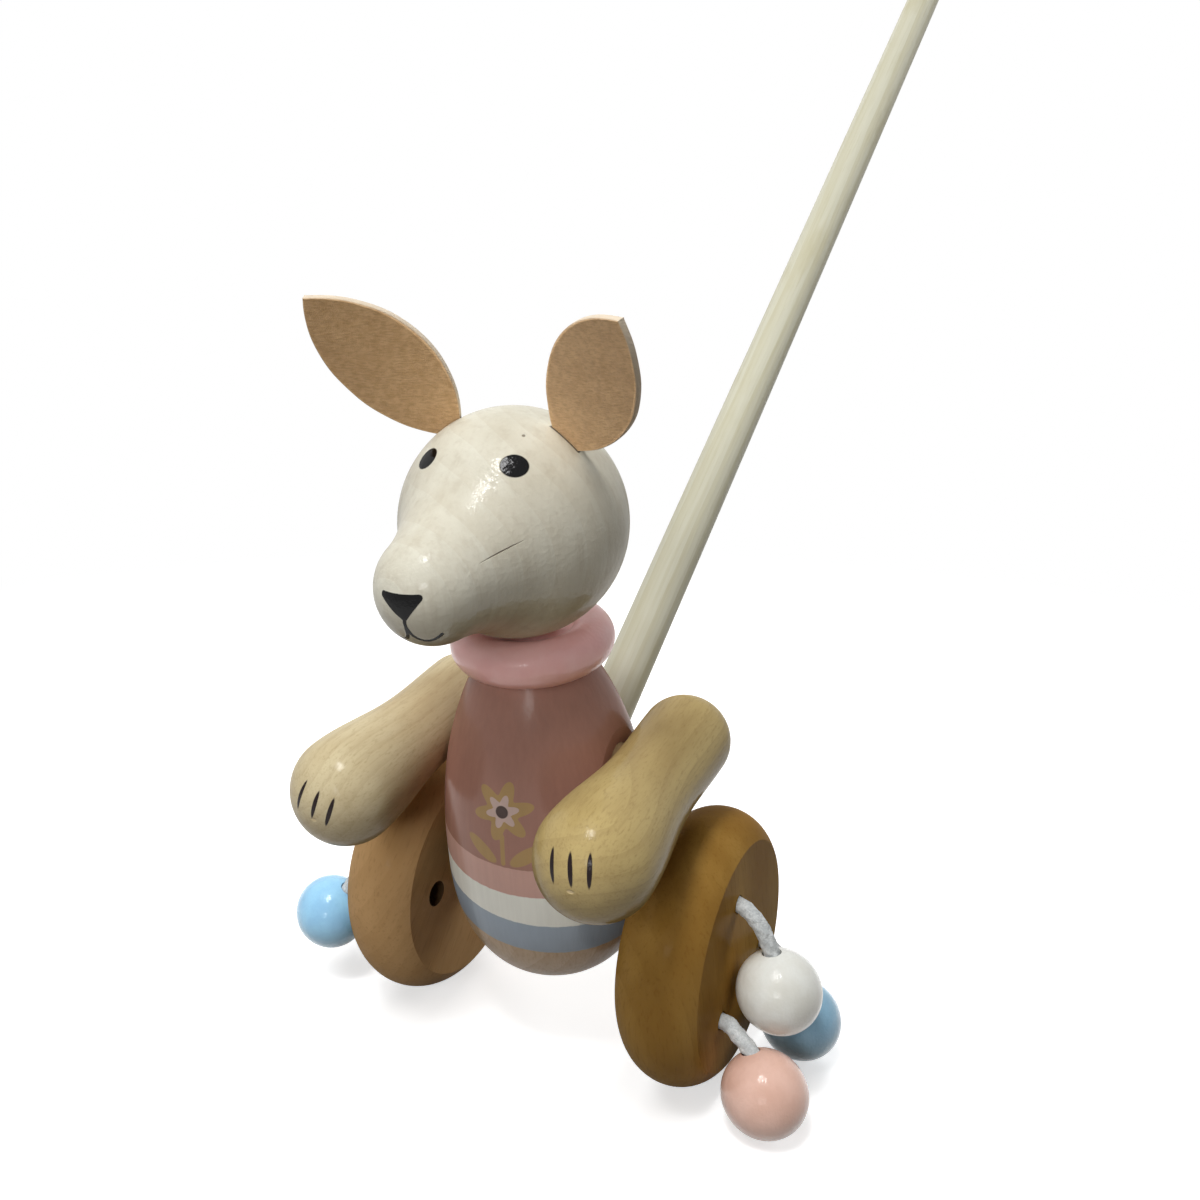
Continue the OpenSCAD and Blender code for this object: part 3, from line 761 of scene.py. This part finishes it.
turnedArm = dict(
    shoulder=10.8, paw=13.2, reach=48.6, waist=1.3, tail=13.3, pivot=(31.932, -3.3, 84.4),
    splay=1.0, droop=1.0, rows=210, cols=200, backSteps=120, midSteps=200, frontSteps=160, poleGap=0.01,
    claws=dict(left=[((-4.19, 8.1, 9.5), (-3.1, 2.3, 12.6)), ((-0.1, 8.5, 10.1), (1.0, 2.8, 12.85)),
                     ((3.8, 8.7, 9.2), (4.5, 2.9, 12.1))],
               right=[((-1.6, 8.1, 10.3), (-3.85, 1.6, 12.5)), ((2.35, 6.7, 11.1), (0.7, 0.8, 13.15)),
                      ((5.9, 5.4, 10.5), (4.0, -0.8, 12.55))]),
    clawHalf=0.52, clawDepth=3.0, clawPast=0.25,
    chip=dict(left=(0.8, 1.5, 13.1), right=(1.1, 0.2, 13.15)), chipHalf=(0.75, 0.4, 1.5),
    pith=dict(left=(7, -15, 0), right=(-9, 13, 0)), ringGap=3.4,
    tones=dict(left=dict(light=(191, 169, 114), dark=(168, 145, 94), mark=(132, 105, 64)),
               right=dict(light=(209, 195, 158), dark=(191, 172, 133), mark=(156, 130, 92))),
    chipTone=(226, 204, 160), inkTone=(34, 20, 20),
)


# A round shoulder end, a smooth step up to the paw's radius less one wave for the waist, and a round paw.
def armOutline(make):
    shoulder, paw, reach = (make[k] for k in ("shoulder", "paw", "reach"))
    back = np.linspace(np.pi - make["poleGap"], np.pi / 2, make["backSteps"])
    u = np.linspace(0, 1, make["midSteps"])[1:]
    front = np.linspace(np.pi / 2, make["poleGap"], make["frontSteps"])[1:]
    swell = shoulder + (paw - shoulder) * (3 * u**2 - 2 * u**3)
    swell = swell - make["waist"] * (1 - np.cos(2 * np.pi * u)) / 2
    outline = np.concatenate([
        np.stack([shoulder * np.sin(back), shoulder * np.cos(back)], axis=-1),
        np.stack([swell, reach * u], axis=-1),
        np.stack([paw * np.sin(front), reach + paw * np.cos(front)], axis=-1)])
    return respaced(outline, make["rows"])


def armSpace(make, sign):  # Z runs from the shoulder to the paw
    splay, droop = np.radians(make["splay"]), np.radians(make["droop"])
    along = np.array([sign * np.sin(splay) * np.cos(droop), -np.cos(splay) * np.cos(droop), -np.sin(droop)])
    x = -unit(np.cross(along, (0, 0, 1)))
    foot = np.array(make["pivot"]) * (sign, 1, 1) - make["tail"] * along
    return toyFrame @ frameOf(foot, x, np.cross(along, x), along)


def clawStroke(tree, space, make, top, low):
    top, low = np.array(top), np.array(low)
    middle = unit((top + low) / 2) * make["paw"]
    half = (np.linalg.norm(low - top) / 2 + make["clawPast"], make["clawHalf"], make["clawDepth"])
    return spot(tree, space, middle + (0, 0, make["reach"]), low - top, middle, half, soft=0.12)


def armFinish(make, space, side):
    finish, tree, shader = lacquer(f"tanLacquer.{side}", rough=0.6, coat=0.34, coatRough=0.11)
    tones = make["tones"][side]
    rings, fibres = grain(tree, space, make["pith"][side], make["ringGap"], wander=4.0)
    flecks = noise(tree, alongIn(tree, space, 4), scale=1900, roughness=0.6)
    cloud = noise(tree, alongIn(tree, space, 2.5), scale=70)
    blush = noise(tree, alongIn(tree, space, 1.8), scale=60, detail=4.0, roughness=0.6)
    wood = toned(tree, cloud, tones["light"], tones["dark"])
    wood = overlaid(tree, wood, blush, tones["mark"], low=0.5, high=0.72, share=0.3)
    wood = overlaid(tree, wood, rings, tones["mark"], low=0.55, high=1.0, share=0.16)
    wood = overlaid(tree, wood, flecks, tones["mark"], low=0.5, high=0.74, share=0.3)
    wood = overlaid(tree, wood, fibres, tones["mark"], low=0.48, high=0.72, share=0.2)
    ink = greatest(tree, [clawStroke(tree, space, make, *ends) for ends in make["claws"][side]])
    chip = np.array(make["chip"][side])
    chipped = spot(tree, space, chip + (0, 0, make["reach"]), (1, 0, 0), chip, make["chipHalf"], soft=0.35)
    wood = mixed(tree, scaled(tree, chipped, 0.7), wood, screenTone(*make["chipTone"]))
    rough = roughBy(tree, cloud, smooth=0.26, dull=0.36)
    painted(tree, shader, mixed(tree, ink, wood, screenTone(*make["inkTone"])), rough)
    height = added(tree, scaled(tree, ink, 0.5), scaled(tree, flecks, 0.4))
    bumped(tree, shader, maths(tree, "SUBTRACT", height, chipped), depth=0.12)
    return finish


def makeArms(make):
    for side, sign in sides.items():
        space = armSpace(make, sign)
        grid = placed(space, turned(armOutline(make), make["cols"]))
        arm = skinGrid(f"turnedArm.{side}", grid * mm)
        settle(arm, armFinish(make, space, side), "arms", "tan_lacquer", f"arm_{side}")
    print("arms made: 2")


makeArms(turnedArm)

# Finishes of the pieces whose CAD shape is right: wheels, collar, beads, stick and dowels

stainedWheel = dict(
    left=dict(light=(178, 138, 70), dark=(152, 112, 50), pore=(126, 88, 34), grainTilt=18),
    right=dict(light=(215, 173, 121), dark=(196, 154, 102), pore=(168, 126, 78), grainTilt=-40),
    pith=(30, 12, 0), ringGap=4.2,
    boreShadeTone=(50, 32, 20), boreRim=0.1, boreLong=1000.0, boreFade=(1.0, 2.0),
)


# Painted shade inside the knots' bores: dark discs round the holes, which fade out a little past the
# wheel's
#  middle.
def boreShade(tree, side, make, middle):
    radius = cottonCord["knotBore"] / 2 + make["boreRim"]
    half = (make["boreLong"], radius, radius)
    discs = []
    for i in range(len(beadColours)):
        hole = (middle[0], *holePlace(cottonCord, side, i))
        discs.append(spot(tree, np.eye(4), hole, (1, 0, 0), (0, 0, 1), half, soft=0.03))
    across = put(tree, "SeparateXYZ", {0: objectCoords(tree)}).outputs[0]
    fade = [(abs(middle[0]) + past) * mm for past in make["boreFade"]]
    inner = ramp(tree, maths(tree, "ABSOLUTE", across), *fade, toLow=0.9, toHigh=0.0)
    return maths(tree, "MULTIPLY", greatest(tree, discs), inner)


def wheelFinish(side, make):
    finish, tree, shader = lacquer(f"ochreStain.{side}", rough=0.6, coat=0.06, coatRough=0.1)
    tones = make[side]
    middle = nodeMiddle(f"wheel_{side}")
    space = frameOf(middle, *turnAbout("x", tones["grainTilt"]).T)
    rings, fibres = grain(tree, space, make["pith"], make["ringGap"], wander=5.0)
    cloud = noise(tree, alongIn(tree, space, 3), scale=60)
    flecks = noise(tree, alongIn(tree, space, 9), scale=1400, roughness=0.6)
    wood = toned(tree, cloud, tones["light"], tones["dark"])
    wood = overlaid(tree, wood, rings, tones["dark"], low=0.3, high=1.0, share=0.28)
    wood = overlaid(tree, wood, flecks, tones["pore"], low=0.52, high=0.72, share=0.35)
    wood = overlaid(tree, wood, fibres, tones["dark"], low=0.5, high=0.75, share=0.3)
    # painted shade in the knots' bores
    wood = mixed(tree, boreShade(tree, side, make, middle), wood, screenTone(*make["boreShadeTone"]))
    painted(tree, shader, wood, roughBy(tree, cloud, smooth=0.5, dull=0.65))
    bumped(tree, shader, flecks, depth=0.06)
    return finish


def glossPaint(name, space, tones, rough=0.28, coat=0.6):
    finish, tree, shader = lacquer(name, rough, coat, coatRough=0.16, specular=0.1)
    light, deep = tones
    cloud = noise(tree, coordsIn(tree, space), scale=160)
    streaks = noise(tree, alongIn(tree, space, 10), scale=650, roughness=0.6)
    peel = noise(tree, coordsIn(tree, space), scale=1100, detail=2.0)
    colour = toned(tree, cloud, light, deep)
    colour = overlaid(tree, colour, streaks, deep, low=0.48, high=0.75, share=0.35)
    painted(tree, shader, colour, roughBy(tree, cloud, smooth=rough - 0.05, dull=rough + 0.07))
    bumped(tree, shader, added(tree, peel, streaks), depth=0.07)
    return finish


def plainWood(name, space, tones, rough):
    finish, tree, shader = newFinish(name, **{"Roughness": rough, "Specular IOR Level": 0.2})
    light, dark = tones
    rings, fibres = grain(tree, space, pith=(3.2, 2.1, 0), ringGap=2.4, wander=3.0)
    lines = noise(tree, alongIn(tree, space, 60), scale=1100, roughness=0.6)
    blotches = noise(tree, alongIn(tree, space, 3.5), scale=95)
    wood = mixed(tree, ramp(tree, rings, 0.3, 1.0, 0.0, 0.35), screenTone(*light), screenTone(*dark))
    wood = overlaid(tree, wood, blotches, dark, low=0.5, high=0.72, share=0.55)
    wood = overlaid(tree, wood, lines, dark, low=0.45, high=0.75, share=0.3)
    wood = overlaid(tree, wood, fibres, dark, low=0.5, high=0.78, share=0.35)
    painted(tree, shader, wood, roughBy(tree, lines, smooth=rough - 0.06, dull=rough + 0.08))
    bumped(tree, shader, added(tree, lines, fibres), depth=0.08)
    return finish


creamTones, pinkTones = ((234, 235, 229), (222, 221, 212)), ((240, 199, 182), (228, 184, 165))
beadTones = dict(  # the near blue bead is painted darker and greyer than the far one, as painted shade
    left=dict(cream=creamTones, pink=pinkTones, blue=((148, 193, 219), (134, 177, 204))),
    right=dict(cream=creamTones, pink=pinkTones, blue=((164, 219, 252), (150, 203, 240))),
)
collarTones = ((255, 204, 201), (250, 192, 189))
stickTones = ((212, 210, 190), (190, 183, 148))
# the dowels' tones are darker than their wood, as painted shade where the shoulder dowel shows in the gap
# between torso and arm
shadedDowelTones = ((140, 116, 84), (108, 86, 58))
neckTones = ((216, 196, 158), (186, 160, 118))
stickSlope = 51.5  # degrees of the stick from upright


def finishFrame():
    for side in sides:
        dress(f"wheel_{side}", wheelFinish(side, stainedWheel))
        for colour in beadColours:
            name = f"bead_{side}_{colour}"
            space = frameOf(nodeMiddle(name), *np.eye(3))
            dress(name, glossPaint(f"bead.{side}.{colour}", space, beadTones[side][colour]))
    dress("collar", glossPaint("pinkLacquer", toyFrame, collarTones, rough=0.32, coat=0.4))
    stick = frameOf(nodeMiddle("handle_rod"), *turnAbout("x", -stickSlope).T)
    dress("handle_rod", plainWood("paleStick", stick, stickTones, rough=0.5))
    sideways = frameOf((0, 0, 0), (0, 1, 0), (0, 0, 1), (1, 0, 0))  # its Z lies along the axle
    # the axle and shoulder dowel get the darkened dowel tones: painted shade
    dowel = plainWood("shadedDowel", sideways, shadedDowelTones, rough=0.6)
    for name in ("axle", "shoulder_dowel"):
        dress(name, dowel)
    dress("neck_dowel", plainWood("bareNeck", toyFrame, neckTones, rough=0.6))
    print("frame finished")


finishFrame()

# Floor, world and lamps, in metres

studio = dict(
    floorHalf=4.0, floorTone=(0.93, 0.93, 0.93), bounceTone=(0.075, 0.06, 0.04),
    clearFrom=0.22, clearTo=0.6, glow=0.55, fill=0.045, aim=(0, 0, 0.1),
    lamps=dict(  # the broad lamps aren't mirrored, so they leave no hard glare on the lacquer
        keySky=dict(way=(-0.131, -0.347, 0.929), reach=1.3, size=(0.9, 0.9), watts=8.4, mirrored=False),
        ceilingLamp=dict(way=(0.02, -0.41, 0.91), reach=1.3, size=(0.22, 0.3), watts=6.4, mirrored=True),
        backSky=dict(way=(-0.453, 0.785, 0.423), reach=1.3, size=(0.6, 0.6), watts=7.4, mirrored=False),
        rimSky=dict(way=(0.55, 0.8, 0.25), reach=1.3, size=(0.7, 0.7), watts=5.0, mirrored=False),
        frontSky=dict(way=(0.025, -0.939, 0.342), reach=1.5, size=(0.7, 0.6), watts=6.3, mirrored=False),
        frontWindow=dict(way=(0.25, -0.92, 0.28), reach=1.5, size=(0.2, 0.16), watts=1.6, mirrored=True),
    ),
)


def seenRay(tree):  # 1 for camera, glossy and transmission rays
    ray = put(tree, "LightPath", {})
    kinds = ("Is Camera Ray", "Is Glossy Ray", "Is Transmission Ray")
    return greatest(tree, [ray.outputs[kind] for kind in kinds])


def whiteGlow(tree, strength):
    return put(tree, "Emission", {"Color": (1, 1, 1, 1), "Strength": strength}).outputs[0]


def matt(tree, tone):
    return put(tree, "BsdfDiffuse", {"Color": (*tone, 1)}).outputs[0]


def mixShader(tree, share, a, b):
    return put(tree, "MixShader", {0: share, 1: a, 2: b}).outputs[0]


# A flat floor: one square at height zero, lit near the toy and white further off.
def makeFloor(make):
    half = make["floorHalf"]
    sheet = bpy.data.meshes.new("paleFloor")
    sheet.from_pydata([(-half, -half, 0), (half, -half, 0), (half, half, 0), (-half, half, 0)],
                      [], [(0, 1, 2, 3)])
    floor = bpy.data.objects.new("paleFloor", sheet)
    bpy.context.scene.collection.objects.link(floor)
    finish = bpy.data.materials.new("paleFloor")
    finish.use_nodes = True
    tree = finish.node_tree
    tree.nodes.remove(tree.nodes["Principled BSDF"])
    lit = put(tree, "AddShader", {0: matt(tree, make["floorTone"]), 1: whiteGlow(tree, make["glow"])})
    away = vectorMaths(tree, "LENGTH", objectCoords(tree))
    clear = ramp(tree, away, make["clearFrom"], make["clearTo"])
    shown = mixShader(tree, clear, lit.outputs[0], whiteGlow(tree, 1.0))
    whole = mixShader(tree, seenRay(tree), matt(tree, make["bounceTone"]), shown)
    tree.links.new(whole, tree.nodes["Material Output"].inputs[0])
    floor.data.materials.append(finish)


def makeWorld(make):
    world = bpy.data.worlds.new("studioWorld")
    bpy.context.scene.world = world
    world.use_nodes = True
    tree = world.node_tree
    back = tree.nodes["Background"]
    back.inputs["Color"].default_value = (1, 1, 1, 1)
    level = put(tree, "MapRange", {"Value": seenRay(tree), "To Min": make["fill"], "To Max": 1.0})
    tree.links.new(level.outputs[0], back.inputs["Strength"])


def hangLamps(make):
    for name, plan in make["lamps"].items():
        lamp = bpy.data.lights.new(name, "AREA")
        lamp.shape = "RECTANGLE"
        lamp.size, lamp.size_y = plan["size"]
        lamp.energy = plan["watts"]
        holder = bpy.data.objects.new(name, lamp)
        way = Vector(plan["way"]).normalized()
        holder.location = Vector(make["aim"]) + way * plan["reach"]
        holder.rotation_euler = way.to_track_quat("Z", "Y").to_euler()
        holder.visible_camera = False
        holder.visible_glossy = plan["mirrored"]
        bpy.context.scene.collection.objects.link(holder)


makeFloor(studio)
makeWorld(studio)
hangLamps(studio)
print("studio lit")
